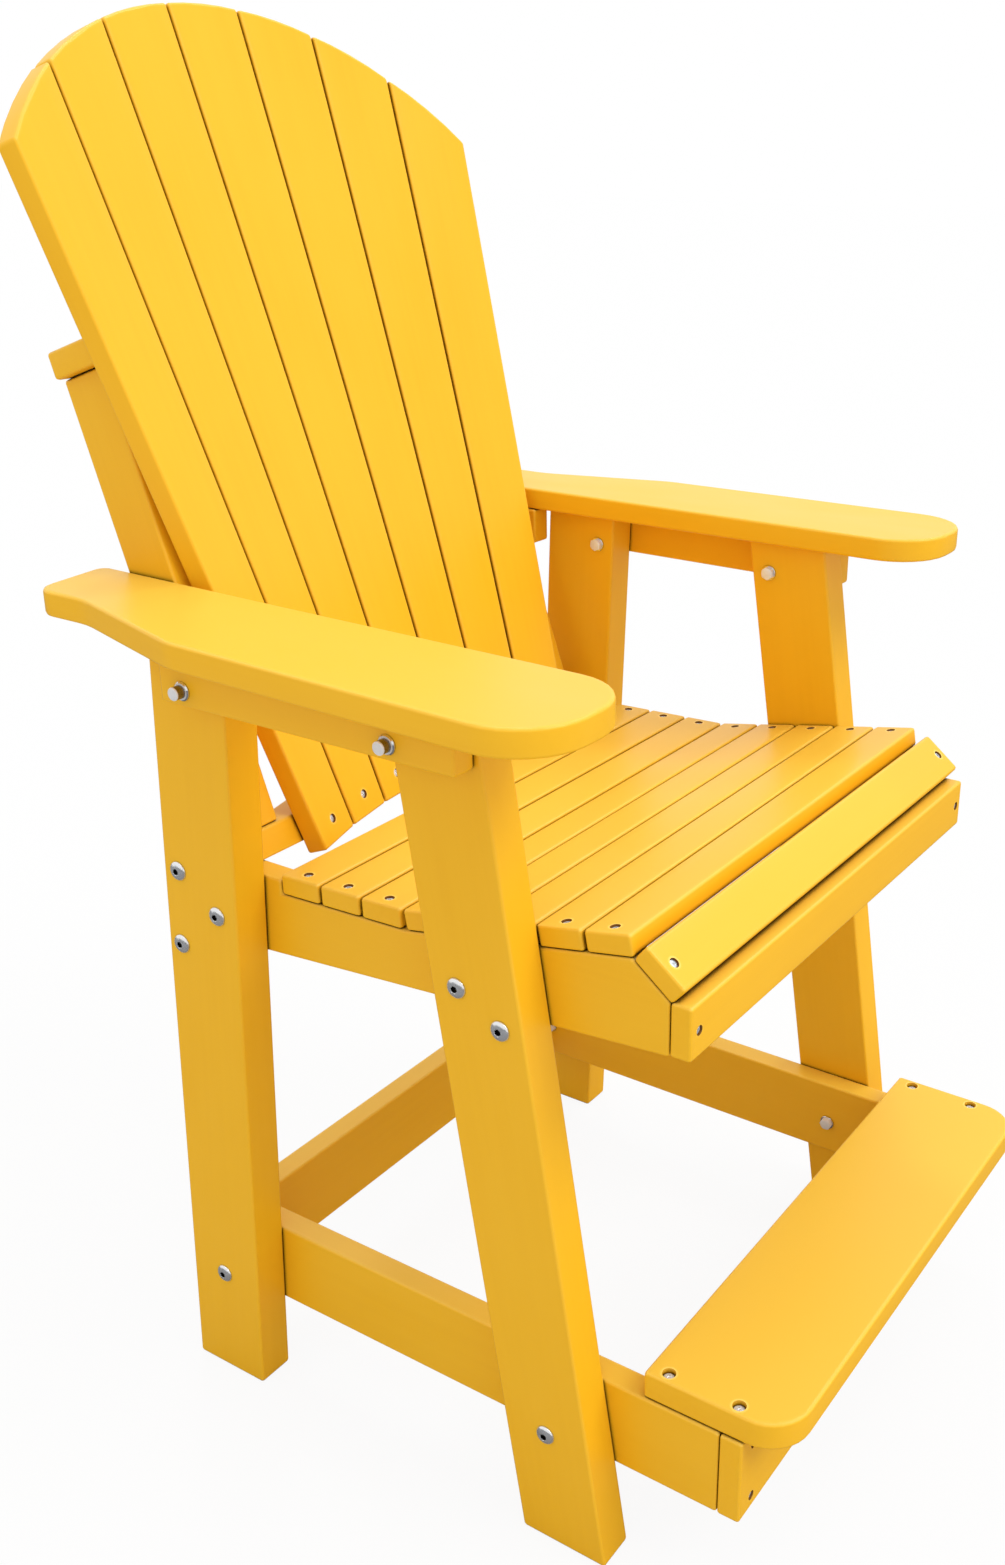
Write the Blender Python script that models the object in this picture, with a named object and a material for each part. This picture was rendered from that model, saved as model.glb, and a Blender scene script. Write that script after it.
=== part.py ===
"""Counter-height fan-back armchair of thick plastic lumber boards, bolted together, with a footrest.

Metres, +Z up. The chair faces -Y, its origin is on the floor at the middle of its box, and left and right
are the sitter's. Lengths along Y run from the toe of the front legs, where their front edge meets the floor.
"""

import math

import bmesh
import bpy
from mathutils import Matrix, Vector

for old in list(bpy.data.objects):
    bpy.data.objects.remove(old)

# Fits and edges
CLEARANCE = 0.0003
BOLT_CLEARANCE = 0.0003
EDGE_RADIUS = 0.003
EDGE_SEGMENTS = 2
ARC_STEP = math.radians(12)
ROUND_SIDES = 20
SHARP_ANGLE = math.radians(30)

# Legs: boards whose wide faces look sideways
LEG_SPACING = 0.574
LEG_THICKNESS = 0.0395
LEG_WIDTH = 0.0905
LEG_STANCE = 0.4292
FRONT_LEG_LEAN = math.radians(8.85)
REAR_LEG_LEAN = math.radians(-2.4)

# Side stretchers, rear cross stretcher and footrest
RAIL_THICKNESS = 0.027
STRETCHER_HEIGHT = 0.0902
STRETCHER_RISE = 0.0853
STRETCHER_FRONT_REACH = 0.0914
STRETCHER_REAR_SETBACK = 0.0055
CROSS_STRETCHER_THICKNESS = 0.027
FOOTREST_THICKNESS = 0.028
FOOTREST_DEPTH = 0.146
FOOTREST_OVERHANG = 0.0435
FOOTREST_INSET = 0.0025
FOOTREST_CORNER_RADIUS = 0.042
FOOTREST_APRON_THICKNESS = 0.023

# Seat: slats on two side rails, level at the back and rising to the front
SLAT_WIDTH = 0.0455
SLAT_THICKNESS = 0.020
SLAT_GAP = 0.0028
REAR_SLATS = 3
FRONT_SLATS = 5
SEAT_REAR_SLOPE = math.radians(1.8)
SEAT_FRONT_SLOPE = math.radians(10.5)
NOSE_SLAT_SLOPE = math.radians(38.8)
NOSE_SETBACK = 0.0025
NOSE_SLAT_WIDTH = 0.0467
NOSE_SLAT_DROP = 0.0018
NOSE_SLAT_OVERHANG = 0.0014
SEAT_BEND_HEIGHT = 0.5716
SEAT_RAIL_TILT = math.radians(4.46)
SEAT_RAIL_NOSE_HEIGHT = 0.050
SEAT_RAIL_LEDGE_STEP = 0.014
SEAT_RAIL_REAR_SETBACK = 0.004
SEAT_APRON_THICKNESS = 0.020
SEAT_APRON_HEIGHT = 0.050
SEAT_APRON_RISE = 0.001

# Back: a fan of tapered slats on a hollow curve
BACK_SLATS = 7
BACK_SLAT_THICKNESS = 0.022
BACK_SLAT_GAP = 0.0025
BACK_LEAN = math.radians(19.1)
BACK_INSET = 0.0625
BACK_SEAT_GAP = 0.0474
BACK_SIDE_GAP = 0.012
BACK_LOWER_PITCH = 0.0598
BACK_HOLLOW = 0.0272
BACK_HEIGHT = 0.798
BACK_ARC_RADIUS = 0.386
BACK_ARC_POINTS = 5
LOWER_RAIL_THICKNESS = 0.027
LOWER_RAIL_DEPTH = 0.028
LOWER_RAIL_SHOULDER = 0.002
UPPER_RAIL_THICKNESS = 0.025
UPPER_RAIL_DEPTH = 0.031
UPPER_RAIL_HEIGHT = 0.4695
UPPER_RAIL_OVERHANG = 0.011
UPRIGHT_THICKNESS = 0.029
UPRIGHT_WIDTH = 0.058
UPRIGHT_TONGUE_DROP = 0.021

# Arms, their outer supports and their rear cleats
ARM_HEIGHT = 0.838
ARM_THICKNESS = 0.024
ARM_FRONT_OVERHANG = 0.121
ARM_REAR_OVERHANG = 0.033
ARM_INSIDE_OVERHANG = 0.0165
ARM_OUTSIDE_OVERHANG = 0.0845
ARM_WAIST_OVERHANG = 0.0685
ARM_TAIL_OVERHANG = 0.0225
ARM_WAIST_LENGTH = 0.150
ARM_TAIL_LENGTH = 0.079
ARM_TAIL_SLANT = 0.013
ARM_FRONT_RADIUS = 0.060
ARM_WAIST_RADIUS = 0.075
ARM_TAIL_OUTER_RADIUS = 0.024
ARM_TAIL_INNER_RADIUS = 0.012
SUPPORT_THICKNESS = 0.0254
SUPPORT_HEIGHT = 0.0505
SUPPORT_FRONT_SETBACK = 0.007
SUPPORT_REAR_REACH = 0.050
CLEAT_HEIGHT = 0.040
CLEAT_LENGTH = 0.050
CLEAT_LEG_GAP = 0.001

# Bolts: button heads outside, low round nuts inside
BOLT_RADIUS = 0.005
BOLT_HEAD_RADIUS = 0.0095
BOLT_HEAD_HEIGHT = 0.004
BOLT_DOME_ANGLE = math.radians(40)
BOLT_SOCKET_RADIUS = 0.003
BOLT_SOCKET_DEPTH = 0.0025
BOLT_NUT_RADIUS = 0.0085
BOLT_NUT_HEIGHT = 0.006
WASHER_RADIUS = 0.0087
WASHER_THICKNESS = 0.002
CAP_RADIUS = 0.006
CAP_HEIGHT = 0.009
CAP_EDGE_ROUND = 0.0014
SUPPORT_NUT_RADIUS = 0.0083
SEAT_BOLT_EDGE = 0.0235
SEAT_BOLT_HIGH = 0.040
SEAT_BOLT_LOW = 0.0100
REAR_BOLT_EDGE = 0.016
REAR_BOLT_HIGH = 0.049
UPRIGHT_BOLT_RISE = 0.002
UPRIGHT_BOLT_EDGE = 0.0098
STRETCHER_BOLT_RISE = 0.0395
STRETCHER_NUT_GAP = 0.0015
SUPPORT_BOLT_DROP = 0.036
SUPPORT_BOLT_EDGE = 0.021

# Screw counterbores
SCREW_HOLE_RADIUS = 0.0046
SCREW_HOLE_DEPTH = 0.005
FOOTREST_HOLE_RADIUS = 0.0065
FOOTREST_HOLE_DEPTH = 0.006
FOOTREST_HOLE_EDGE = 0.020
BACK_SCREW_RISE = 0.022
APRON_SCREW_EDGE = 0.015
APRON_SCREW_SIDE = 0.022

# Finishes
LUMBER_COLOUR = (0.955, 0.555, 0.047, 1.0)
LUMBER_ROUGHNESS = 0.45
STEEL_COLOUR = (0.62, 0.63, 0.65, 1.0)
STEEL_ROUGHNESS = 0.25

RIGHT = -1
LEFT = 1
SIDES = (("right", RIGHT), ("left", LEFT))


def material(name, colour, roughness, metallic):
    made = bpy.data.materials.new(name)
    made.use_nodes = True
    shader = made.node_tree.nodes["Principled BSDF"]
    shader.inputs["Base Color"].default_value = colour
    shader.inputs["Roughness"].default_value = roughness
    shader.inputs["Metallic"].default_value = metallic
    return made


def add_object(name, mesh, finish, parent):
    made = bpy.data.objects.new(name, mesh)
    bpy.context.scene.collection.objects.link(made)
    made.data.materials.append(finish)
    made.parent = parent
    return made


def lofted_mesh(name, first, second):
    """A closed mesh between two outlines of as many points, the second one lying beyond the first."""
    shape = bmesh.new()
    lower = [shape.verts.new(point) for point in first]
    upper = [shape.verts.new(point) for point in second]
    shape.faces.new(lower)
    shape.faces.new(upper)
    for here in range(len(lower)):
        after = (here + 1) % len(lower)
        shape.faces.new((lower[here], lower[after], upper[after], upper[here]))
    bmesh.ops.recalc_face_normals(shape, faces=shape.faces)
    mesh = bpy.data.meshes.new(name)
    shape.to_mesh(mesh)
    shape.free()
    return mesh


def round_edges(board):
    bevel = board.modifiers.new("rounded edges", "BEVEL")
    bevel.width = EDGE_RADIUS
    bevel.segments = EDGE_SEGMENTS
    bevel.limit_method = "ANGLE"
    bevel.angle_limit = SHARP_ANGLE
    board.data.shade_smooth()
    board.data.set_sharp_from_angle(angle=SHARP_ANGLE)


def lofted_board(name, first, second):
    board = add_object(name, lofted_mesh(name, first, second), LUMBER, CHAIR)
    round_edges(board)
    return board


def side_board(name, outline, x_middle, thickness):
    """A board cut to an outline in the side view, its thickness running across the chair."""
    half = thickness / 2
    first = [(-half, y, z) for y, z in outline]
    second = [(half, y, z) for y, z in outline]
    board = lofted_board(name, first, second)
    board.location.x = x_middle
    return board


def flat_board(name, outline, bottom, thickness):
    """A board cut to an outline in the top view, lying level."""
    first = [(x, y, 0) for x, y in outline]
    second = [(x, y, thickness) for x, y in outline]
    board = lofted_board(name, first, second)
    board.location.z = bottom
    return board


def block(name, low, high):
    (x0, y0, z0), (x1, y1, z1) = low, high
    return flat_board(name, [(x0, y0), (x1, y0), (x1, y1), (x0, y1)], z0, z1 - z0)


def rounded_outline(corners):
    """The outline through (x, y, radius) corners, each turned on an arc of that radius or left sharp at 0."""
    points = []
    for here, (x, y, radius) in enumerate(corners):
        corner = Vector((x, y))
        if radius == 0:
            points.append((x, y))
            continue
        before = (Vector(corners[here - 1][:2]) - corner).normalized()
        after = (Vector(corners[(here + 1) % len(corners)][:2]) - corner).normalized()
        half_angle = before.angle(after) / 2
        centre = corner + (before + after).normalized() * radius / math.sin(half_angle)
        start = corner + before * radius / math.tan(half_angle) - centre
        end = corner + after * radius / math.tan(half_angle) - centre
        turn = start.angle_signed(end)
        steps = max(1, math.ceil(abs(turn) / ARC_STEP))
        for step in range(steps + 1):
            arm = start.copy()
            arm.rotate(Matrix.Rotation(-turn * step / steps, 2))
            points.append(tuple(centre + arm))
    return points


def turned_mesh(name, profile):
    """A solid turned about Z from (radius, z) points that run from one end of the axis to the other."""
    shape = bmesh.new()
    rings = []
    for radius, z in profile:
        if radius == 0:
            rings.append([shape.verts.new((0, 0, z))])
            continue
        angles = [math.tau * side / ROUND_SIDES for side in range(ROUND_SIDES)]
        rings.append([shape.verts.new((radius * math.cos(a), radius * math.sin(a), z)) for a in angles])
    for lower, upper in zip(rings, rings[1:]):
        for side in range(ROUND_SIDES):
            after = (side + 1) % ROUND_SIDES
            if len(lower) == 1:
                shape.faces.new((lower[0], upper[after], upper[side]))
            elif len(upper) == 1:
                shape.faces.new((lower[side], lower[after], upper[0]))
            else:
                shape.faces.new((lower[side], lower[after], upper[after], upper[side]))
    bmesh.ops.recalc_face_normals(shape, faces=shape.faces)
    mesh = bpy.data.meshes.new(name)
    shape.to_mesh(mesh)
    shape.free()
    return mesh


def facing(direction):
    """The rotation that turns +Z to this direction."""
    return Vector((0, 0, 1)).rotation_difference(Vector(direction)).to_euler()


def drill(boards, centre, direction, radius, reach, depth):
    """A round hole in these boards, from reach outside the centre to depth beyond it, along the direction."""
    profile = [(0, -reach), (radius, -reach), (radius, depth), (0, depth)]
    cutter = bpy.data.objects.new("hole", turned_mesh("hole", profile))
    bpy.context.scene.collection.objects.link(cutter)
    cutter.parent = CHAIR
    cutter.location = centre
    cutter.rotation_euler = facing(direction)
    cutter.hide_render = True
    cutter.display_type = "WIRE"
    for board in boards:
        cut = board.modifiers.new("hole", "BOOLEAN")
        cut.operation = "DIFFERENCE"
        cut.object = cutter


def counterbore(board, centre, inward, radius, depth):
    drill([board], centre, inward, radius, EDGE_RADIUS, depth)


# Places that several pieces share
half_spacing = LEG_SPACING / 2
leg_outer = half_spacing + LEG_THICKNESS
rail_inner = half_spacing - RAIL_THICKNESS
rail_middle = half_spacing - RAIL_THICKNESS / 2
slat_half_length = half_spacing - CLEARANCE
arm_bottom = ARM_HEIGHT - ARM_THICKNESS
leg_top = arm_bottom - CLEARANCE
stretcher_top = STRETCHER_RISE + STRETCHER_HEIGHT


def front_leg_edge(z):
    """Y of the front legs' front edge at this height."""
    return z * math.tan(FRONT_LEG_LEAN)


def rear_leg_edge(z):
    """Y of the rear legs' front edge at this height."""
    return LEG_STANCE + z * math.tan(REAR_LEG_LEAN)


front_leg_depth = LEG_WIDTH / math.cos(FRONT_LEG_LEAN)
rear_leg_depth = LEG_WIDTH / math.cos(REAR_LEG_LEAN)
stretcher_rear = rear_leg_edge(stretcher_top) + rear_leg_depth - STRETCHER_REAR_SETBACK
cross_stretcher_front = stretcher_rear - CROSS_STRETCHER_THICKNESS

# The seat's side view: the line that the slats lie on, in direction vectors (y, z) from its bend
slat_pitch = SLAT_WIDTH + SLAT_GAP
bend_margin = SLAT_THICKNESS * math.tan((SEAT_FRONT_SLOPE - SEAT_REAR_SLOPE) / 2) + SLAT_GAP / 2
rear_run = bend_margin + REAR_SLATS * slat_pitch - SLAT_GAP
front_run = bend_margin + FRONT_SLATS * slat_pitch - SLAT_GAP
to_rear = Vector((math.cos(SEAT_REAR_SLOPE), -math.sin(SEAT_REAR_SLOPE)))
to_front = Vector((-math.cos(SEAT_FRONT_SLOPE), math.sin(SEAT_FRONT_SLOPE)))
down_nose = Vector((-math.cos(NOSE_SLAT_SLOPE), -math.sin(NOSE_SLAT_SLOPE)))

# The back's place: its middle slat's front face meets the seat rails' ledge height at back_y
ledge_height = SEAT_BEND_HEIGHT + rear_run * to_rear.y + SEAT_RAIL_LEDGE_STEP
back_y = rear_leg_edge(ledge_height) + rear_leg_depth - BACK_INSET
seat_rear_y = back_y - BACK_SEAT_GAP
bend = Vector((seat_rear_y - rear_run * to_rear.x, SEAT_BEND_HEIGHT))
nose_top = bend + to_front * (front_run - NOSE_SETBACK)
nose_end = nose_top + down_nose * (NOSE_SLAT_DROP + NOSE_SLAT_WIDTH - NOSE_SLAT_OVERHANG)
rail_front_bottom = nose_end.y - SEAT_RAIL_NOSE_HEIGHT
rail_rear_y = rear_leg_edge(ledge_height) + rear_leg_depth - SEAT_RAIL_REAR_SETBACK


def seat_rail_bottom(y):
    return rail_front_bottom - math.tan(SEAT_RAIL_TILT) * (y - nose_end.x)


# The back's own axes: across is X, along runs up the middle slat and behind points out of its rear face
along = Vector((0, math.sin(BACK_LEAN), math.cos(BACK_LEAN)))
behind = Vector((0, math.cos(BACK_LEAN), -math.sin(BACK_LEAN)))
across = Vector((1, 0, 0))
back_origin = Vector((0, back_y, ledge_height))
arm_along = (ARM_HEIGHT - ledge_height) / math.cos(BACK_LEAN)
upright_outer = rail_inner - CLEARANCE
upright_inner = upright_outer - UPRIGHT_THICKNESS
pitch_at_arms = (rail_inner - BACK_SIDE_GAP) * 2 / BACK_SLATS
fan_distance = BACK_LOWER_PITCH * arm_along / (pitch_at_arms - BACK_LOWER_PITCH)
fan_point = back_origin - along * fan_distance
half_count = BACK_SLATS / 2
slat_numbers = [index - (BACK_SLATS - 1) / 2 for index in range(BACK_SLATS)]


def fan_direction(place):
    """The unit line up the back from the fan's point, at this slat number or half way between two numbers."""
    hollow = BACK_HOLLOW * (place / half_count) ** 2
    return (across * BACK_LOWER_PITCH * place - behind * hollow + along * fan_distance).normalized()


def slat_axes(number):
    """A back slat's own axes: up its length, across its width and out of its rear face."""
    up = fan_direction(number)
    width = fan_direction(number + 0.5) - fan_direction(number - 0.5)
    width = (width - up * width.dot(up)).normalized()
    return up, width, up.cross(width)


def slat_rear_plane(number):
    """A point and the normal of a back slat's rear face."""
    up, _, rear = slat_axes(number)
    return fan_point + up * fan_distance + rear * BACK_SLAT_THICKNESS, rear


def line_behind_slats(level, slope, x_end):
    """(x, y) corners of the line where the slats' rear faces cross the plane z = level + slope * y."""
    cuts = []
    for number in slat_numbers:
        point, normal = slat_rear_plane(number)
        # On that plane, the slat's rear face is y = start + lean * x
        rise = normal.y + normal.z * slope
        cuts.append(((normal.dot(point) - normal.z * level) / rise, -normal.x / rise))
    seams = [(b[0] - a[0]) / (a[1] - b[1]) for a, b in zip(cuts, cuts[1:])]
    corners = [-x_end, *seams, x_end]
    owners = [cuts[0], *cuts[:-1], cuts[-1]]
    return [(x, start + lean * x) for x, (start, lean) in zip(corners, owners)]


LUMBER = material("HDPE lumber", LUMBER_COLOUR, LUMBER_ROUGHNESS, 0.0)
STEEL = material("stainless steel", STEEL_COLOUR, STEEL_ROUGHNESS, 1.0)
CHAIR = bpy.data.objects.new("chair", None)
bpy.context.scene.collection.objects.link(CHAIR)


def build_legs():
    legs = {}
    for side_name, side in SIDES:
        for place, edge, depth in (
            ("front", front_leg_edge, front_leg_depth),
            ("rear", rear_leg_edge, rear_leg_depth),
        ):
            outline = [
                (edge(0), 0),
                (edge(0) + depth, 0),
                (edge(leg_top) + depth, leg_top),
                (edge(leg_top), leg_top),
            ]
            x_middle = side * (half_spacing + LEG_THICKNESS / 2)
            legs[place, side] = side_board(f"{place}_leg_{side_name}", outline, x_middle, LEG_THICKNESS)
    return legs


def build_stretchers():
    stretchers = {}
    front = -STRETCHER_FRONT_REACH
    for side_name, side in SIDES:
        outer = side * (half_spacing - CLEARANCE)
        inner = side * rail_inner
        x_low, x_high = sorted((outer, inner))
        stretchers[side] = block(
            f"side_stretcher_{side_name}",
            (x_low, front, STRETCHER_RISE),
            (x_high, stretcher_rear, stretcher_top),
        )
    cross_half = rail_inner - CLEARANCE
    block(
        "rear_cross_stretcher",
        (-cross_half, cross_stretcher_front, STRETCHER_RISE),
        (cross_half, stretcher_rear, stretcher_top),
    )
    return stretchers


def build_footrest():
    apron_rear = -STRETCHER_FRONT_REACH - CLEARANCE
    apron_front = apron_rear - FOOTREST_APRON_THICKNESS
    apron = block(
        "footrest_apron",
        (-half_spacing, apron_front, STRETCHER_RISE),
        (half_spacing, apron_rear, stretcher_top),
    )
    for side in (RIGHT, LEFT):
        for z in (STRETCHER_RISE + APRON_SCREW_EDGE, stretcher_top - APRON_SCREW_EDGE):
            centre = (side * (half_spacing - APRON_SCREW_SIDE), apron_front, z)
            counterbore(apron, centre, (0, 1, 0), SCREW_HOLE_RADIUS, SCREW_HOLE_DEPTH)

    half_length = half_spacing - FOOTREST_INSET
    front = apron_front - FOOTREST_OVERHANG
    rear = front + FOOTREST_DEPTH
    outline = rounded_outline(
        [
            (-half_length, front, FOOTREST_CORNER_RADIUS),
            (half_length, front, FOOTREST_CORNER_RADIUS),
            (half_length, rear, 0),
            (-half_length, rear, 0),
        ]
    )
    bottom = stretcher_top + CLEARANCE
    board = flat_board("footrest_board", outline, bottom, FOOTREST_THICKNESS)
    for side in (RIGHT, LEFT):
        for y in ((apron_front + apron_rear) / 2, rear - FOOTREST_HOLE_EDGE):
            centre = (side * rail_middle, y, bottom + FOOTREST_THICKNESS)
            counterbore(board, centre, (0, 0, -1), FOOTREST_HOLE_RADIUS, FOOTREST_HOLE_DEPTH)
    return front


def build_seat_rails(lug_front):
    """Side rails with a scooped top, a ledge for the lower back rail and a lug behind it."""
    lug_top = ledge_height + CLEARANCE + LOWER_RAIL_THICKNESS
    step_y = seat_rear_y + SLAT_THICKNESS * math.sin(SEAT_REAR_SLOPE) + CLEARANCE
    step_bottom = bend + to_rear * ((step_y - bend.x) / to_rear.x)
    outline = [
        (nose_end.x, rail_front_bottom),
        (rail_rear_y, seat_rail_bottom(rail_rear_y)),
        (rail_rear_y, lug_top),
        (lug_front, lug_top),
        (lug_front, ledge_height),
        (step_y, ledge_height),
        step_bottom,
        bend,
        nose_top,
        nose_end,
    ]
    rails = {}
    for side_name, side in SIDES:
        thickness = RAIL_THICKNESS - CLEARANCE
        x_middle = side * (rail_inner + thickness / 2)
        rails[side] = side_board(f"seat_rail_{side_name}", outline, x_middle, thickness)
    return rails


def seat_slat(name, start, direction, width):
    """A slat across the rails: in the side view its lower edge runs from the start along the direction."""
    normal = Vector((-direction.y, direction.x)) * math.copysign(1, direction.x)
    foot = start + normal * CLEARANCE
    end = foot + direction * width
    lift = normal * SLAT_THICKNESS
    slat = side_board(name, [foot, end, end + lift, foot + lift], 0, 2 * slat_half_length)
    top = foot + direction * width / 2 + normal * SLAT_THICKNESS
    for side in (RIGHT, LEFT):
        centre = (side * rail_middle, top.x, top.y)
        counterbore(slat, centre, (0, -normal.x, -normal.y), SCREW_HOLE_RADIUS, SCREW_HOLE_DEPTH)


def build_seat():
    for number in range(REAR_SLATS):
        away = bend_margin + (REAR_SLATS - 1 - number) * slat_pitch
        seat_slat(f"seat_slat_{number + 1}", bend + to_rear * away, to_rear, SLAT_WIDTH)
    for number in range(FRONT_SLATS):
        away = bend_margin + number * slat_pitch
        seat_slat(f"seat_slat_{REAR_SLATS + number + 1}", bend + to_front * away, to_front, SLAT_WIDTH)
    seat_slat("seat_nose_slat", nose_top + down_nose * NOSE_SLAT_DROP, down_nose, NOSE_SLAT_WIDTH)

    rear = nose_end.x - CLEARANCE
    front = rear - SEAT_APRON_THICKNESS
    top = nose_end.y + SEAT_APRON_RISE
    bottom = top - SEAT_APRON_HEIGHT
    apron = block("seat_apron", (-slat_half_length, front, bottom), (slat_half_length, rear, top))
    for side in (RIGHT, LEFT):
        centre = (side * rail_middle, front, (bottom + top) / 2)
        counterbore(apron, centre, (0, 1, 0), SCREW_HOLE_RADIUS, SCREW_HOLE_DEPTH)


def distance_to_arch(line, start):
    """How far this line runs in the back's front view, from a start seen from the fan's point to the arch."""
    centre = BACK_HEIGHT - BACK_ARC_RADIUS + fan_distance
    flat_line = Vector((line.dot(across), line.dot(along)))
    flat_start = Vector((start.dot(across), start.dot(along) - centre))
    # The end has the arch's radius from its centre, which makes a quadratic in the distance
    a = flat_line.dot(flat_line)
    b = 2 * flat_line.dot(flat_start)
    c = flat_start.dot(flat_start) - BACK_ARC_RADIUS**2
    return (-b + math.sqrt(b * b - 4 * a * c)) / (2 * a)


def build_back_slats():
    for index, number in enumerate(slat_numbers):
        up, width, rear = slat_axes(number)
        spread_left = math.tan(up.angle(fan_direction(number + 0.5)))
        spread_right = math.tan(up.angle(fan_direction(number - 0.5)))
        low_left = fan_distance * spread_left - BACK_SLAT_GAP / 2
        low_right = -fan_distance * spread_right + BACK_SLAT_GAP / 2
        outline = [(low_right, 0), (low_left, 0)]
        for step in range(BACK_ARC_POINTS):
            # Lines share the slat's width between its left edge and its right one, all fanning out
            share = step / (BACK_ARC_POINTS - 1)
            spread = spread_left - (spread_left + spread_right) * share
            inset = BACK_SLAT_GAP * (share - 0.5)
            distance = distance_to_arch(up + width * spread, width * inset)
            outline.append((distance * spread + inset, distance - fan_distance))
        first = [(offset, 0, height) for offset, height in outline]
        second = [(offset, BACK_SLAT_THICKNESS, height) for offset, height in outline]
        slat = lofted_board(f"back_slat_{index + 1}", first, second)
        turn = Matrix((width, rear, up)).transposed()
        slat.rotation_euler = turn.to_euler()
        slat.location = fan_point + up * fan_distance
        screw = slat.location + up * BACK_SCREW_RISE
        counterbore(slat, screw, rear, SCREW_HOLE_RADIUS, SCREW_HOLE_DEPTH)


def build_lower_back_rail():
    """A level rail on the seat rails' ledges, its front cut to the slats' rear faces.

    Returns Y of its rear face at the ends.
    """
    bottom = ledge_height + CLEARANCE
    top = bottom + LOWER_RAIL_THICKNESS
    end = half_spacing - CLEARANCE
    fan_edge = half_count * BACK_LOWER_PITCH + LOWER_RAIL_SHOULDER
    fronts = []
    for z in (bottom, top):
        line = [(x, y + CLEARANCE) for x, y in line_behind_slats(z, 0, fan_edge)]
        fronts.append([(-end, line[0][1]), *line, (end, line[-1][1])])
    rear = [(x, y + LOWER_RAIL_DEPTH) for x, y in reversed(fronts[1])]
    first = [(x, y, bottom) for x, y in fronts[0] + rear]
    second = [(x, y, top) for x, y in fronts[1] + rear]
    lofted_board("lower_back_rail", first, second)
    return rear[0][1]


def build_upper_back_rail():
    """A rail square to the back, its front cut to the slats' rear faces.

    Returns how far behind the back's front line the uprights' front faces stand, clear of the slats.
    """
    x_end = upright_outer + UPPER_RAIL_OVERHANG
    low_point = back_origin + along * UPPER_RAIL_HEIGHT
    # The rail's lower face is the plane square to the back through low_point
    slope = -math.tan(BACK_LEAN)
    level = low_point.z - slope * low_point.y
    low_line = line_behind_slats(level, slope, x_end)
    front = [(x, (y - low_point.y) / math.cos(BACK_LEAN) + CLEARANCE) for x, y in low_line]
    rear_depth = BACK_SLAT_THICKNESS + UPPER_RAIL_DEPTH
    outline = [*front, (x_end, rear_depth), (-x_end, rear_depth)]
    first = [(x, depth, 0) for x, depth in outline]
    second = [(x, depth, UPPER_RAIL_THICKNESS) for x, depth in outline]
    rail = lofted_board("upper_back_rail", first, second)
    rail.rotation_euler.x = -BACK_LEAN
    rail.location = low_point
    point, normal = slat_rear_plane(slat_numbers[-1])
    return (normal.dot(point - low_point) - normal.x * upright_inner) / normal.dot(behind) + CLEARANCE


def build_uprights(front_depth, rail_rear_face):
    """Boards between the back rails, notched over the lower one: a tongue goes down beside the seat rail.

    Returns them and Y of their rear edge at arm height.
    """

    def on_line(depth, z):
        """The (y, z) point this deep behind the back's front line, at this height."""
        reach = (z - ledge_height + depth * math.sin(BACK_LEAN)) / math.cos(BACK_LEAN)
        return (back_y + depth * math.cos(BACK_LEAN) + reach * math.sin(BACK_LEAN), z)

    def under_rail(depth):
        point = back_origin + along * (UPPER_RAIL_HEIGHT - CLEARANCE) + behind * depth
        return (point.y, point.z)

    rear_depth = front_depth + UPRIGHT_WIDTH
    shoulder = ledge_height + 2 * CLEARANCE + LOWER_RAIL_THICKNESS
    tongue_bottom = ledge_height - UPRIGHT_TONGUE_DROP
    tongue_front = rail_rear_face + CLEARANCE
    outline = [
        under_rail(front_depth),
        on_line(front_depth, shoulder),
        (tongue_front, shoulder),
        (tongue_front, tongue_bottom),
        on_line(rear_depth, tongue_bottom),
        under_rail(rear_depth),
    ]
    uprights = {}
    for side_name, side in SIDES:
        x_middle = side * (upright_inner + UPRIGHT_THICKNESS / 2)
        uprights[side] = side_board(f"back_upright_{side_name}", outline, x_middle, UPRIGHT_THICKNESS)
    return uprights, on_line(rear_depth, ARM_HEIGHT)[0]


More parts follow.
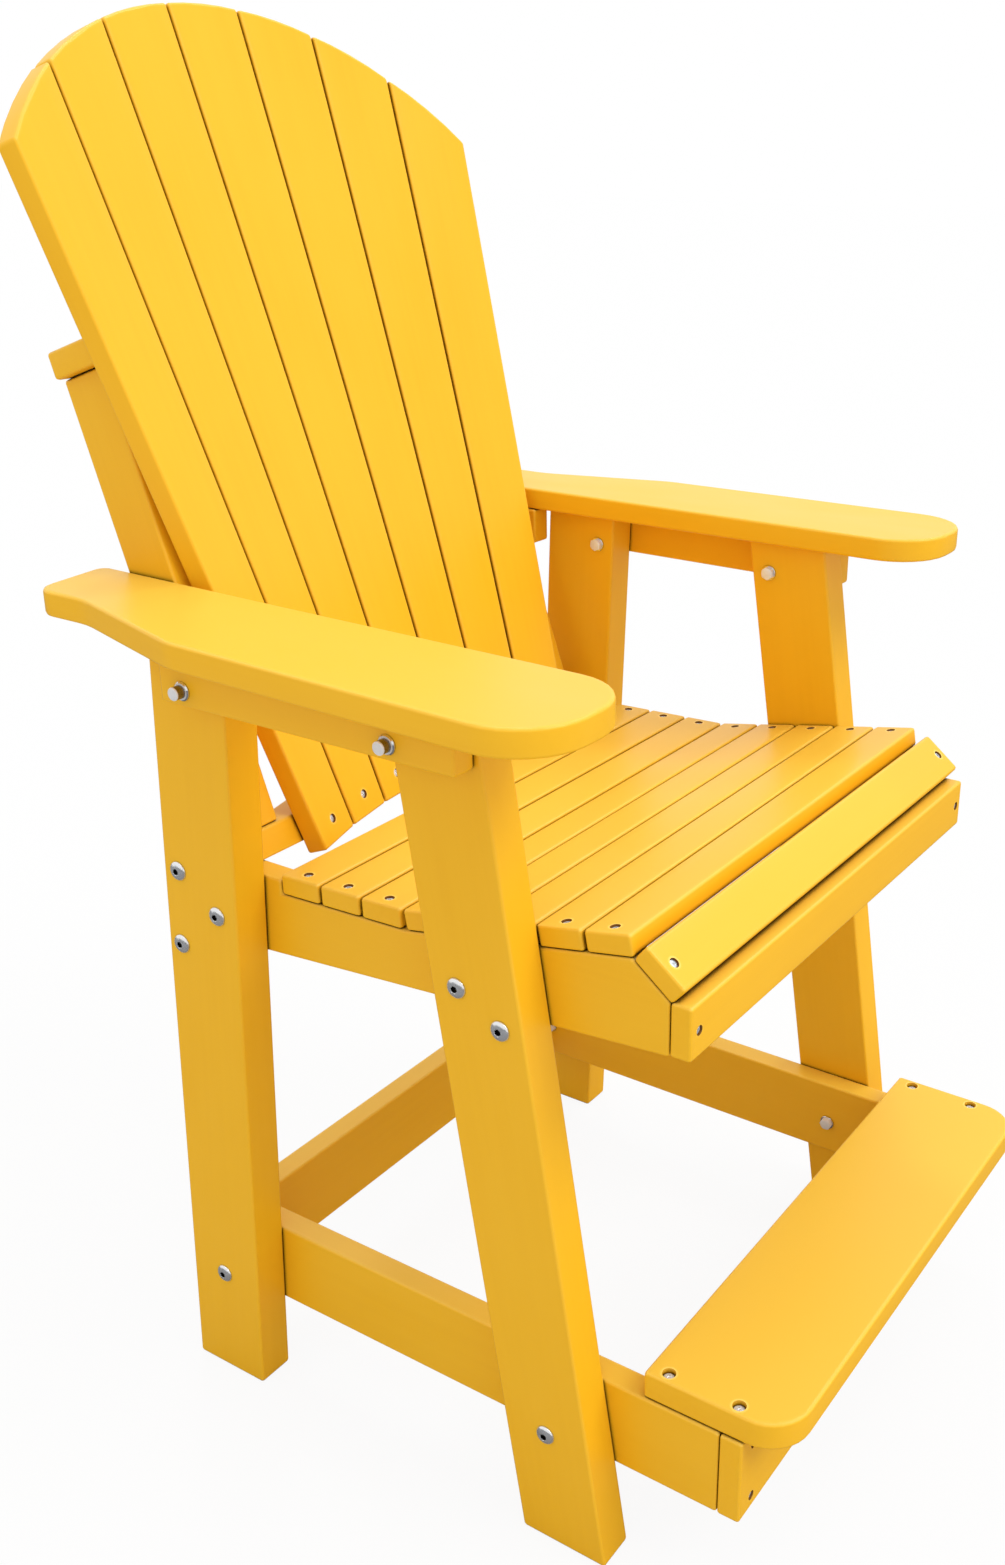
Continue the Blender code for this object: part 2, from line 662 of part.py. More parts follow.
def build_arms(upright_rear):
    """Arms, the supports outside the legs and the cleats outside the uprights that carry them."""
    front = front_leg_edge(leg_top) - ARM_FRONT_OVERHANG
    rear = upright_rear + ARM_REAR_OVERHANG
    waist_end = rear - ARM_TAIL_LENGTH
    waist_start = waist_end - ARM_WAIST_LENGTH
    support_bottom = leg_top - SUPPORT_HEIGHT
    support_front = front_leg_edge(support_bottom) + SUPPORT_FRONT_SETBACK
    support_rear = rear_leg_edge(leg_top) + SUPPORT_REAR_REACH
    cleat_front = rear_leg_edge(leg_top - CLEAT_HEIGHT) + rear_leg_depth + CLEAT_LEG_GAP
    supports = {}
    for side_name, side in SIDES:
        corners = [
            (half_spacing - ARM_INSIDE_OVERHANG, front, ARM_FRONT_RADIUS),
            (leg_outer + ARM_OUTSIDE_OVERHANG, front, ARM_FRONT_RADIUS),
            (leg_outer + ARM_WAIST_OVERHANG, waist_start, ARM_WAIST_RADIUS),
            (leg_outer + ARM_TAIL_OVERHANG, waist_end, ARM_WAIST_RADIUS),
            (leg_outer + ARM_TAIL_OVERHANG, rear - ARM_TAIL_SLANT, ARM_TAIL_OUTER_RADIUS),
            (rail_inner, rear, ARM_TAIL_INNER_RADIUS),
        ]
        outline = rounded_outline([(side * x, y, radius) for x, y, radius in corners])
        flat_board(f"arm_{side_name}", outline, arm_bottom, ARM_THICKNESS)

        inner = leg_outer + CLEARANCE
        x_low, x_high = sorted((side * inner, side * (inner + SUPPORT_THICKNESS)))
        supports[side] = block(
            f"arm_support_{side_name}",
            (x_low, support_front, support_bottom),
            (x_high, support_rear, leg_top),
        )
        x_low, x_high = sorted((side * rail_inner, side * (rail_inner + RAIL_THICKNESS)))
        block(
            f"arm_cleat_{side_name}",
            (x_low, cleat_front, leg_top - CLEAT_HEIGHT),
            (x_high, cleat_front + CLEAT_LENGTH, leg_top),
        )
    return supports, rear


def button_bolt(name, side, y, z, boards, grip):
    """A button-head bolt on a leg's outer face, with its nut on the inner side of the boards."""
    socket_floor = BOLT_HEAD_HEIGHT - BOLT_SOCKET_DEPTH
    profile = [
        (0, socket_floor),
        (BOLT_SOCKET_RADIUS, socket_floor),
        (BOLT_SOCKET_RADIUS, BOLT_HEAD_HEIGHT),
        (BOLT_HEAD_RADIUS * math.cos(BOLT_DOME_ANGLE), BOLT_HEAD_HEIGHT * math.sin(BOLT_DOME_ANGLE)),
        (BOLT_HEAD_RADIUS, 0),
        (BOLT_RADIUS, 0),
        (BOLT_RADIUS, -grip),
        (BOLT_NUT_RADIUS, -grip),
        (BOLT_NUT_RADIUS, -grip - BOLT_NUT_HEIGHT),
        (0, -grip - BOLT_NUT_HEIGHT),
    ]
    place_bolt(name, profile, side, leg_outer + CLEARANCE, y, z, boards, grip)


def support_bolt(name, side, y, z, boards, grip):
    """A bolt through arm support and leg: a washer and a tall round cap outside, a low nut inside."""
    profile = [
        (0, WASHER_THICKNESS + CAP_HEIGHT),
        (CAP_RADIUS - CAP_EDGE_ROUND, WASHER_THICKNESS + CAP_HEIGHT),
        (CAP_RADIUS, WASHER_THICKNESS + CAP_HEIGHT - CAP_EDGE_ROUND),
        (CAP_RADIUS, WASHER_THICKNESS),
        (WASHER_RADIUS, WASHER_THICKNESS),
        (WASHER_RADIUS, 0),
        (BOLT_RADIUS, 0),
        (BOLT_RADIUS, -grip),
        (SUPPORT_NUT_RADIUS, -grip),
        (SUPPORT_NUT_RADIUS, -grip - BOLT_NUT_HEIGHT),
        (0, -grip - BOLT_NUT_HEIGHT),
    ]
    place_bolt(name, profile, side, leg_outer + 2 * CLEARANCE + SUPPORT_THICKNESS, y, z, boards, grip)


def place_bolt(name, profile, side, face, y, z, boards, grip):
    bolt = add_object(name, turned_mesh(name, profile), STEEL, CHAIR)
    bolt.data.shade_smooth()
    bolt.data.set_sharp_from_angle(angle=SHARP_ANGLE)
    bolt.location = (side * face, y, z)
    bolt.rotation_euler = facing((side, 0, 0))
    margin = BOLT_NUT_HEIGHT
    hole_radius = BOLT_RADIUS + BOLT_CLEARANCE
    drill(boards, bolt.location, (-side, 0, 0), hole_radius, margin, grip + margin)


def build_bolts(legs, rails, stretchers, uprights, supports, lug_front):
    rail_grip = leg_outer - rail_inner + 2 * CLEARANCE
    upright_grip = leg_outer - upright_inner + 2 * CLEARANCE
    support_grip = SUPPORT_THICKNESS + LEG_THICKNESS + 3 * CLEARANCE
    support_z = leg_top - SUPPORT_BOLT_DROP
    stretcher_z = STRETCHER_RISE + STRETCHER_BOLT_RISE
    front_edge = front_leg_edge(rail_front_bottom)
    rear_edge = rear_leg_edge(rail_front_bottom)
    for side_name, side in SIDES:
        front_leg = legs["front", side]
        rear_leg = legs["rear", side]
        seat_bolts = (
            (front_leg, front_edge + SEAT_BOLT_EDGE, SEAT_BOLT_LOW),
            (front_leg, front_edge + front_leg_depth - SEAT_BOLT_EDGE, SEAT_BOLT_HIGH),
            (rear_leg, rear_edge + SEAT_BOLT_EDGE, REAR_BOLT_HIGH),
            (rear_leg, rear_edge + rear_leg_depth - REAR_BOLT_EDGE, SEAT_BOLT_LOW),
        )
        for number, (leg, y, rise) in enumerate(seat_bolts, 1):
            z = seat_rail_bottom(y) + rise
            button_bolt(f"seat_bolt_{number}_{side_name}", side, y, z, [leg, rails[side]], rail_grip)

        y = lug_front + UPRIGHT_BOLT_EDGE
        z = ledge_height + UPRIGHT_BOLT_RISE
        boards = [rear_leg, rails[side], uprights[side]]
        button_bolt(f"upright_bolt_{side_name}", side, y, z, boards, upright_grip)

        stretcher_bolts = (
            ("front", front_leg, front_leg_edge(stretcher_z) + front_leg_depth / 2),
            ("rear", rear_leg, cross_stretcher_front - BOLT_NUT_RADIUS - STRETCHER_NUT_GAP),
        )
        for place, leg, y in stretcher_bolts:
            name = f"stretcher_bolt_{place}_{side_name}"
            button_bolt(name, side, y, stretcher_z, [leg, stretchers[side]], rail_grip)

        support_bolts = (
            ("front", front_leg, front_leg_edge(support_z) + front_leg_depth - SUPPORT_BOLT_EDGE),
            ("rear", rear_leg, rear_leg_edge(support_z) + SUPPORT_BOLT_EDGE),
        )
        for place, leg, y in support_bolts:
            name = f"support_bolt_{place}_{side_name}"
            support_bolt(name, side, y, support_z, [leg, supports[side]], support_grip)


def main():
    legs = build_legs()
    stretchers = build_stretchers()
    front_y = build_footrest()
    build_back_slats()
    rail_rear_face = build_lower_back_rail()
    lug_front = rail_rear_face + CLEARANCE
    rails = build_seat_rails(lug_front)
    build_seat()
    upright_front = build_upper_back_rail()
    uprights, upright_rear = build_uprights(upright_front, rail_rear_face)
    supports, arm_rear = build_arms(upright_rear)
    build_bolts(legs, rails, stretchers, uprights, supports, lug_front)

    back_corner = back_origin + along * BACK_HEIGHT + behind * BACK_SLAT_THICKNESS
    corner_loss = EDGE_RADIUS * (math.cos(BACK_LEAN) + math.sin(BACK_LEAN) - 1)
    CHAIR.location.y = -(front_y + max(back_corner.y - corner_loss, arm_rear)) / 2


main()
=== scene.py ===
"""Looks of a counter-height fan-back armchair: satin plastic lumber boards, steel bolts and sunk screws.

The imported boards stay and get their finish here. Each bolt is made again in its place with a finer head and
nut, and a screw is set on the floor of each counterbore. Metres, +Z up, the chair facing -Y, as in the frame.
"""

import math

import bmesh
import bpy
import numpy as np
from mathutils import Matrix, Vector


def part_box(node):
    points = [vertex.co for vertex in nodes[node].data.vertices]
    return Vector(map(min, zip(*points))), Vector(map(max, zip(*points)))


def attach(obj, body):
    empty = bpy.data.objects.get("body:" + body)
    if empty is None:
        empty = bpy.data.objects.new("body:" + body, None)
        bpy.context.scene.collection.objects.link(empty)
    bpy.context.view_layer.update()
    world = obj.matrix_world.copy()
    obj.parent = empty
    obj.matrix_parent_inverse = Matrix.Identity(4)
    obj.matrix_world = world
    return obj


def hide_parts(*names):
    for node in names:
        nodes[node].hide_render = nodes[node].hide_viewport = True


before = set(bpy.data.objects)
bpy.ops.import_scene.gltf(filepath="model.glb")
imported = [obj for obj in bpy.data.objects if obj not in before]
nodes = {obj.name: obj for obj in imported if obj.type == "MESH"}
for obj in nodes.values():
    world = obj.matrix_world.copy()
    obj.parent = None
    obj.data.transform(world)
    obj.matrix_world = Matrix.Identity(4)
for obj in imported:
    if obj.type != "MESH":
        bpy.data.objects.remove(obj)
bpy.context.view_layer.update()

MM = 0.001

# Camera, for an image of 1005 x 1565
CAMERA_PLACE = (-1.2233, -0.8569, 1.2191)
CAMERA_TURN = (math.radians(67.90), math.radians(-0.88), math.radians(-58.08))
CAMERA_LENS_MM = 36.22
CAMERA_SENSOR_MM = 36.0
CAMERA_SHIFT = (-0.0903, -0.0035)

# Studio: an even white room, far lamps, and two grey cloths that only reflections see, one on the floor and
# one hung to the left. Each lamp has its strength, its spread and the direction it shines from
WHITE = "#FFFFFF"
ROOM_STRENGTH = 0.97
LAMPS = {
    "key": (1.0, math.radians(28), (0.15, -0.66, 0.74)),
    "top light": (0.65, math.radians(60), (0.1, -0.2, 0.97)),
    "rim light": (0.35, math.radians(9), (0.41, 0.37, 0.82)),
    "edge light": (0.3, math.radians(9), (0.65, -0.16, 0.735)),
}
FLOOR_SIZE = 60.0
FLOOR_PAPER = "#CFCFCF"
FLOOR_WHITENESS = 0.92
CLOTH_SIZE = 16.0
CLOTH_LIFT = 2 * MM
CLOTH_HEIGHT = 1.6
CLOTH_GREY = "#66676A"

# Boards: corners this close are one, and edges bent more than this stay sharp
WELD_DISTANCE = 0.01 * MM
CREASE_ANGLE = math.radians(60)
FACE_WEIGHT = 100

# Plastic lumber: its colours and shine
LUMBER_YELLOW = "#EDB31A"
LUMBER_DEEP = "#EBB018"
LUMBER_PALE = "#EFB61F"
PALE_SHARE = 0.6
LUMBER_SMOOTH = 0.33
LUMBER_ROUGH = 0.40
LUMBER_IOR = 1.54
LUMBER_SPECULAR = 0.22

# Plastic lumber: the sizes of its patterns, along the board and both ways across it. Most of the noise lies
# between the low and the high level
STREAK_SIZE = (260 * MM, 7 * MM, 7 * MM)
STREAK_DETAIL = 3.0
CLOUD_SIZE = (160 * MM, 70 * MM, 70 * MM)
CLOUD_DETAIL = 2.0
PEBBLE_SIZE = (1.6 * MM, 1.6 * MM, 1.6 * MM)
PEBBLE_DETAIL = 2.0
PEBBLE_HEIGHT = 0.05 * MM
PEBBLE_STRENGTH = 0.4
NOISE_LOW = 0.3
NOISE_HIGH = 0.7

# Plastic lumber: painted sheen on faces that look up, a painted highlight on upper edges and painted shade in
# the seams. A face's rise is the upward part of its direction, an edge's depth is how much plastic lies
# within reach behind it, and a seam's openness is how much free air lies within reach before it
# Painted sheen: the paler colour painted on faces that look up
PAINTED_TOP_SHEEN = "#E4B73E"
SHEEN_STARTS_AT_RISE = 0.5
SHEEN_FULL_AT_RISE = 0.95
# Painted highlight: the pale colour painted along upper edges
PAINTED_EDGE_HIGHLIGHT = "#FCDC7A"
EDGE_REACH = 2.4 * MM
HIGHLIGHT_STARTS_AT_DEPTH = 0.98
HIGHLIGHT_FULL_AT_DEPTH = 0.8
HIGHLIGHT_STARTS_AT_RISE = -0.1
HIGHLIGHT_FULL_AT_RISE = 0.6
HIGHLIGHT_SHARE = 0.5
SEAM_SHADE = "#4E2C02"
SEAM_REACH = 6 * MM
SEAM_DARK_AT_OPENNESS = 0.15
SEAM_CLEAR_AT_OPENNESS = 0.72
REACH_SAMPLES = 6

# Plastic lumber: painted shade for the walls of the narrow counterbores, darker in random patches
BORE_SHADE = "#9C620A"
BORE_DEEP_SHADE = "#523107"
DRILL_MARK = 1.5 * MM
DRILL_DETAIL = 3.0
DRILL_ROUGH = 0.6

# Steel finishes: colour, least and greatest roughness, and how much of it mirrors like bare metal. The rest
# of a frosted face scatters as a bead-blasted one does
STEELS = {
    "stainless steel polished": ("#E8EAEC", 0.12, 0.18, 1.0),
    "stainless steel satin": ("#F2F4F6", 0.18, 0.26, 0.85),
    "stainless steel frosted": ("#F1F2F3", 0.40, 0.55, 0.3),
    # The screw domes' bluish white is a painted cool reflection, set against the yellow light of the bore
    # walls
    "stainless steel bright": ("#DDE8F4", 0.28, 0.40, 0.5),
    # The darker steel of the support bolts' necks is painted shade: it stands in for the shaded board they
    # mirror
    "stainless steel tarnished": ("#8A837C", 0.20, 0.30, 1.0),
    "stainless steel unlit socket": ("#2A2826", 0.35, 0.50, 1.0),
}
POLISHED, SATIN, FROSTED, COOL_REFLECTION_PAINTED, SHADED_NECK, SOCKET = range(len(STEELS))
STEEL_SHADE = 0.86
RING_SPACING = 0.9 * MM
RING_DEPTH = 0.01 * MM
RING_STRENGTH = 0.15
RING_WANDER = 0.6
RING_DETAIL = 2.0
SMUDGE_SIZE = 4 * MM
SMUDGE_DETAIL = 3.0

# Button-head bolts
HEAD_HEIGHT = 4.0 * MM
HEAD_STEPS = 9
SOCKET_FLATS = 5.8 * MM
SOCKET_DEPTH = 2.5 * MM
SOCKET_POINT = 0.8 * MM
SOCKET_CHAMFER = 0.35 * MM
SHANK_RADIUS = 5.0 * MM
NUT_RADIUS = 8.5 * MM
NUT_STACK = 6.0 * MM
NUT_WASHER_THICKNESS = 1.4 * MM
NUT_WASHER_ROUND = 0.3 * MM
NUT_MARGIN = 1.0 * MM
NUT_FACE_SHARE = 0.94
NUT_CHAMFER = math.radians(32)
NUT_STEPS = 5

# Support bolts
CAP_STACK = 11.0 * MM
CAP_RADIUS = 6.0 * MM
CAP_ROUND = 1.4 * MM
CAP_STEPS = 6
CAP_WASHER_THICKNESS = 2.0 * MM
CAP_WASHER_ROUND = 1.1 * MM
SUPPORT_NUT_RADIUS = 8.3 * MM

# Counterbores: a floor is a flat face with so many corners or more on one circle, within the tolerance. A
# wall stands above it, within the margin of its radius. The footrest's counterbores are the wide ones
FLAT_ANGLE = math.radians(1)
FLOOR_LEAST_CORNERS = 9
FLOOR_TOLERANCE = 0.1 * MM
WALL_MARGIN = 1.01
WIDE_FLOOR_RADIUS = 6.0 * MM

# Screws
SCREW_GAP = 0.5 * MM
WIDE_SCREW_GAP = 1.4 * MM
SCREW_RIM = 2.7 * MM
WIDE_SCREW_RIM = 1.5 * MM
SCREW_DOME = 0.9 * MM
SCREW_LIFT = 0.05 * MM
SCREW_STEPS = 5
DRIVE_SHARE = 0.36
DRIVE_TAPER = 0.9
DRIVE_LOBE = 0.16
DRIVE_LOBES = 6
DRIVE_DEPTH = 1.2 * MM

# All fasteners
ROUND_POINTS = 48
FASTENER_TURN = math.radians(37)
FASTENER_CREASE = math.radians(38)


def linear(hex_colour):
    """The linear colour of an sRGB hex value."""
    channels = [int(hex_colour[place : place + 2], 16) / 255 for place in (1, 3, 5)]
    return (*[c / 12.92 if c <= 0.04045 else ((c + 0.055) / 1.055) ** 2.4 for c in channels], 1.0)


def node(tree, kind, inputs=None, **settings):
    """Adds a node with its settings. Each input takes a value, or a socket of another node to link from."""
    made = tree.nodes.new(kind)
    for name, value in settings.items():
        setattr(made, name, value)
    for name, value in (inputs or {}).items():
        if isinstance(value, bpy.types.NodeSocket):
            tree.links.new(value, made.inputs[name])
        else:
            made.inputs[name].default_value = value
    return made


def empty_material(name):
    made = bpy.data.materials.new(name)
    made.use_nodes = True
    made.node_tree.nodes.clear()
    return made, made.node_tree


def board_turn(board):
    """The rotation whose X runs along the board, from the spread of its corners."""
    corners = np.array([corner.co for corner in board.data.vertices])
    _, axes = np.linalg.eigh(np.cov(corners.T))
    along = Vector(axes[:, 2])
    across = along.orthogonal().normalized()
    return Matrix((along, across, along.cross(across))).transposed().to_euler()


def poly_lumber(board):
    """HDPE poly lumber: coloured right through, extruded, then planed and routed, with no paint.

    It gives the eye one warm yellow with a satin sheen, faint flow streaks along the board, a slow drift of
    tone and gloss over a hand's width, and a fine pebble that softens the highlights. The faces that look up
    are painted paler as a painted sheen, the upper edges get a painted highlight, and the seams get painted
    shade.
    """
    finish, tree = empty_material(f"HDPE poly lumber {board.name}")
    turn = board_turn(board)
    place = node(tree, "ShaderNodeTexCoord").outputs["Object"]

    def pattern(size, detail):
        """Noise whose features have this size along and across the board."""
        sized = {"Vector": place, "Rotation": turn, "Scale": size}
        mapped = node(tree, "ShaderNodeMapping", sized, vector_type="TEXTURE").outputs[0]
        noise = {"Vector": mapped, "Scale": 1.0, "Detail": detail}
        return node(tree, "ShaderNodeTexNoise", noise).outputs[0]

    # Streaks and clouds. Inputs 6 and 7 of a Mix node are its two colours, and output 2 is the mixed one
    streaks = {"Value": pattern(STREAK_SIZE, STREAK_DETAIL), "From Min": NOISE_LOW, "From Max": NOISE_HIGH}
    streak = node(tree, "ShaderNodeMapRange", streaks).outputs[0]
    streaked = {"Factor": streak, 6: linear(LUMBER_DEEP), 7: linear(LUMBER_YELLOW)}
    base = node(tree, "ShaderNodeMix", streaked, data_type="RGBA").outputs[2]
    clouds = {"Value": pattern(CLOUD_SIZE, CLOUD_DETAIL), "From Min": NOISE_LOW, "From Max": NOISE_HIGH}
    cloud = node(tree, "ShaderNodeMapRange", {**clouds, "To Max": PALE_SHARE}).outputs[0]
    clouded = {"Factor": cloud, 6: base, 7: linear(LUMBER_PALE)}
    lumber = node(tree, "ShaderNodeMix", clouded, data_type="RGBA").outputs[2]
    gloss = {**clouds, "To Min": LUMBER_SMOOTH, "To Max": LUMBER_ROUGH}
    roughness = node(tree, "ShaderNodeMapRange", gloss).outputs[0]

    # Painted sheen: the faces that look up are painted paler
    facing = node(tree, "ShaderNodeNewGeometry").outputs["Normal"]
    rise = node(tree, "ShaderNodeSeparateXYZ", {0: facing}).outputs["Z"]
    sheen_range = {"Value": rise, "From Min": SHEEN_STARTS_AT_RISE, "From Max": SHEEN_FULL_AT_RISE}
    sheen_share = node(tree, "ShaderNodeMapRange", sheen_range).outputs[0]
    sheen_mix = {"Factor": sheen_share, 6: lumber, 7: linear(PAINTED_TOP_SHEEN)}
    with_sheen = node(tree, "ShaderNodeMix", sheen_mix, data_type="RGBA").outputs[2]

    # Painted highlight: a paler line painted along the upper edges
    behind = {"samples": REACH_SAMPLES, "inside": True, "only_local": True}
    depth = node(tree, "ShaderNodeAmbientOcclusion", {"Distance": EDGE_REACH}, **behind).outputs["AO"]
    edges = {
        "Value": depth,
        "From Min": HIGHLIGHT_STARTS_AT_DEPTH,
        "From Max": HIGHLIGHT_FULL_AT_DEPTH,
        "To Max": HIGHLIGHT_SHARE,
    }
    edge = node(tree, "ShaderNodeMapRange", edges, interpolation_type="SMOOTHSTEP").outputs[0]
    upper = {"Value": rise, "From Min": HIGHLIGHT_STARTS_AT_RISE, "From Max": HIGHLIGHT_FULL_AT_RISE}
    upward = node(tree, "ShaderNodeMapRange", upper).outputs[0]
    highlit_edge = node(tree, "ShaderNodeMath", {0: edge, 1: upward}, operation="MULTIPLY").outputs[0]
    highlighting = {"Factor": highlit_edge, 6: with_sheen, 7: linear(PAINTED_EDGE_HIGHLIGHT)}
    with_highlight = node(tree, "ShaderNodeMix", highlighting, data_type="RGBA").outputs[2]

    # Shade in the seams
    before = {"samples": REACH_SAMPLES}
    openness = node(tree, "ShaderNodeAmbientOcclusion", {"Distance": SEAM_REACH}, **before).outputs["AO"]
    seams = {"Value": openness, "From Min": SEAM_DARK_AT_OPENNESS, "From Max": SEAM_CLEAR_AT_OPENNESS}
    clear = node(tree, "ShaderNodeMapRange", seams, interpolation_type="SMOOTHSTEP").outputs[0]
    shading = {"Factor": clear, 6: linear(SEAM_SHADE), 7: with_highlight}
    colour = node(tree, "ShaderNodeMix", shading, data_type="RGBA").outputs[2]

    # The real pebble is about 0.4 mm, too fine to show, so it is drawn four times as coarse
    pebble = pattern(PEBBLE_SIZE, PEBBLE_DETAIL)
    grained = {"Height": pebble, "Strength": PEBBLE_STRENGTH, "Distance": PEBBLE_HEIGHT}
    bump = node(tree, "ShaderNodeBump", grained).outputs[0]
    surface = {
        "Base Color": colour,
        "Roughness": roughness,
        "IOR": LUMBER_IOR,
        "Specular IOR Level": LUMBER_SPECULAR,
        "Normal": bump,
    }
    shader = node(tree, "ShaderNodeBsdfPrincipled", surface)
    node(tree, "ShaderNodeOutputMaterial", {"Surface": shader.outputs[0]})
    return finish


def painted_bore_shade_lumber():
    """The wall of a narrow counterbore: the same lumber, torn rough by the drill, with painted shade for its
    colour.
    """
    finish, tree = empty_material("HDPE poly lumber drilled")
    place = node(tree, "ShaderNodeTexCoord").outputs["Object"]
    marks = {"Vector": place, "Scale": 1 / DRILL_MARK, "Detail": DRILL_DETAIL}
    torn = node(tree, "ShaderNodeTexNoise", marks).outputs[0]
    dirty = {"Factor": torn, 6: linear(BORE_DEEP_SHADE), 7: linear(BORE_SHADE)}
    colour = node(tree, "ShaderNodeMix", dirty, data_type="RGBA").outputs[2]
    grained = {"Height": torn, "Strength": PEBBLE_STRENGTH, "Distance": PEBBLE_HEIGHT}
    bump = node(tree, "ShaderNodeBump", grained).outputs[0]
    surface = {"Base Color": colour, "Roughness": DRILL_ROUGH, "Normal": bump}
    shader = node(tree, "ShaderNodeBsdfPrincipled", surface)
    node(tree, "ShaderNodeOutputMaterial", {"Surface": shader.outputs[0]})
    return finish


def stainless_steel(name, hex_colour, smooth, rough, metallic):
    """Stainless steel turned on a lathe, between these limits of roughness.

    It mirrors the studio and the yellow boards. Fine turning rings about its axis break the mirror up, and
    faint smudges a few millimetres wide change its tone.
    """
    finish, tree = empty_material(name)
    place = node(tree, "ShaderNodeTexCoord").outputs["Object"]
    # Real turning marks lie about 0.1 mm apart, too fine to show, so they are drawn wider. At a scale of 1
    # the rings of a wave lie pi / 10 apart
    waves = {
        "Vector": place,
        "Scale": math.pi / 10 / RING_SPACING,
        "Distortion": RING_WANDER,
        "Detail": RING_DETAIL,
    }
    rings = node(tree, "ShaderNodeTexWave", waves, wave_type="RINGS", rings_direction="Z").outputs["Fac"]
    smudged = {"Vector": place, "Scale": 1 / SMUDGE_SIZE, "Detail": SMUDGE_DETAIL}
    smudges = node(tree, "ShaderNodeTexNoise", smudged).outputs[0]
    clean = linear(hex_colour)
    shaded = (*[STEEL_SHADE * channel for channel in clean[:3]], 1.0)
    toned = {"Factor": smudges, 6: clean, 7: shaded}
    colour = node(tree, "ShaderNodeMix", toned, data_type="RGBA").outputs[2]
    gloss = node(tree, "ShaderNodeMapRange", {"Value": rings, "To Min": smooth, "To Max": rough}).outputs[0]
    turned = {"Height": rings, "Strength": RING_STRENGTH, "Distance": RING_DEPTH}
    bump = node(tree, "ShaderNodeBump", turned).outputs[0]
    surface = {"Base Color": colour, "Metallic": metallic, "Roughness": gloss, "Normal": bump}
    shader = node(tree, "ShaderNodeBsdfPrincipled", surface)
    node(tree, "ShaderNodeOutputMaterial", {"Surface": shader.outputs[0]})
    return finish


def board_shading():
    """Joins a board's triangles and shades them smooth, but for corners sharper than a routed edge."""
    group = bpy.data.node_groups.new("board shading", "GeometryNodeTree")
    for way in ("INPUT", "OUTPUT"):
        group.interface.new_socket("Geometry", in_out=way, socket_type="NodeSocketGeometry")
    board = node(group, "NodeGroupInput").outputs[0]
    near = {"Geometry": board, "Distance": WELD_DISTANCE}
    joined = node(group, "GeometryNodeMergeByDistance", near).outputs[0]
    angle = node(group, "GeometryNodeInputMeshEdgeAngle").outputs["Unsigned Angle"]
    bent = {0: angle, 1: CREASE_ANGLE}
    sharp = node(group, "FunctionNodeCompare", bent, operation="GREATER_THAN").outputs[0]
    smooth = node(group, "GeometryNodeSetShadeSmooth", {"Geometry": joined, "Shade Smooth": True}).outputs[0]
    corners = {"Geometry": smooth, "Selection": sharp, "Shade Smooth": False}
    creased = node(group, "GeometryNodeSetShadeSmooth", corners, domain="EDGE").outputs[0]
    node(group, "NodeGroupOutput", {0: creased})
    return group


def counterbore_floors(board):
    """(centre, outward direction, radius) of each round flat face in a board: its counterbores' floors."""
    shape = bmesh.new()
    shape.from_mesh(board.data)
    bmesh.ops.remove_doubles(shape, verts=shape.verts, dist=WELD_DISTANCE)
    bmesh.ops.dissolve_limit(shape, angle_limit=FLAT_ANGLE, verts=shape.verts, edges=shape.edges)
    floors = []
    for face in shape.faces:
        centre = sum((corner.co for corner in face.verts), Vector()) / len(face.verts)
        reaches = [(corner.co - centre).length for corner in face.verts]
        if len(reaches) >= FLOOR_LEAST_CORNERS and max(reaches) - min(reaches) < FLOOR_TOLERANCE:
            floors.append((centre, face.normal.copy(), reaches[0]))
    shape.free()
    return sorted(floors, key=lambda floor: tuple(floor[0]))


def mark_walls(board, floors):
    """Gives the walls of a board's narrow counterbores its second material, the painted bore shade."""
    for centre, outward, radius in floors:
        if radius > WIDE_FLOOR_RADIUS:
            continue
        for face in board.data.polygons:
            offset = face.center - centre
            height = offset.dot(outward)
            reach = (offset - height * outward).length
            if height > FLOOR_TOLERANCE and reach < WALL_MARGIN * radius:
                face.material_index = 1


def finish_boards(boards, floors):
    shading = board_shading()
    painted_bore_shade = painted_bore_shade_lumber()
    for board in boards:
        board.modifiers.new("board shading", "NODES").node_group = shading
        weighted = board.modifiers.new("flat faces stay flat", "WEIGHTED_NORMAL")
        weighted.weight = FACE_WEIGHT
        weighted.keep_sharp = True
        board.data.materials.clear()
        board.data.materials.append(poly_lumber(board))
        board.data.materials.append(painted_bore_shade)
        mark_walls(board, floors[board.name])


def circle(radius):
    return lambda angle: radius


def hexagon(flats):
    """The radius of a hexagon this far across its flats, at an angle."""
    return lambda angle: flats / 2 / math.cos((angle + math.pi / 6) % (math.pi / 3) - math.pi / 6)


def hexagon_within(flats, radius):
    """The radius of such a hexagon, cut off by a circle."""
    outline = hexagon(flats)
    return lambda angle: min(outline(angle), radius)


def lobes(radius):
    """The radius of a round drive with lobes, at an angle."""
    return lambda angle: radius * (1 + DRIVE_LOBE * math.cos(DRIVE_LOBES * angle))


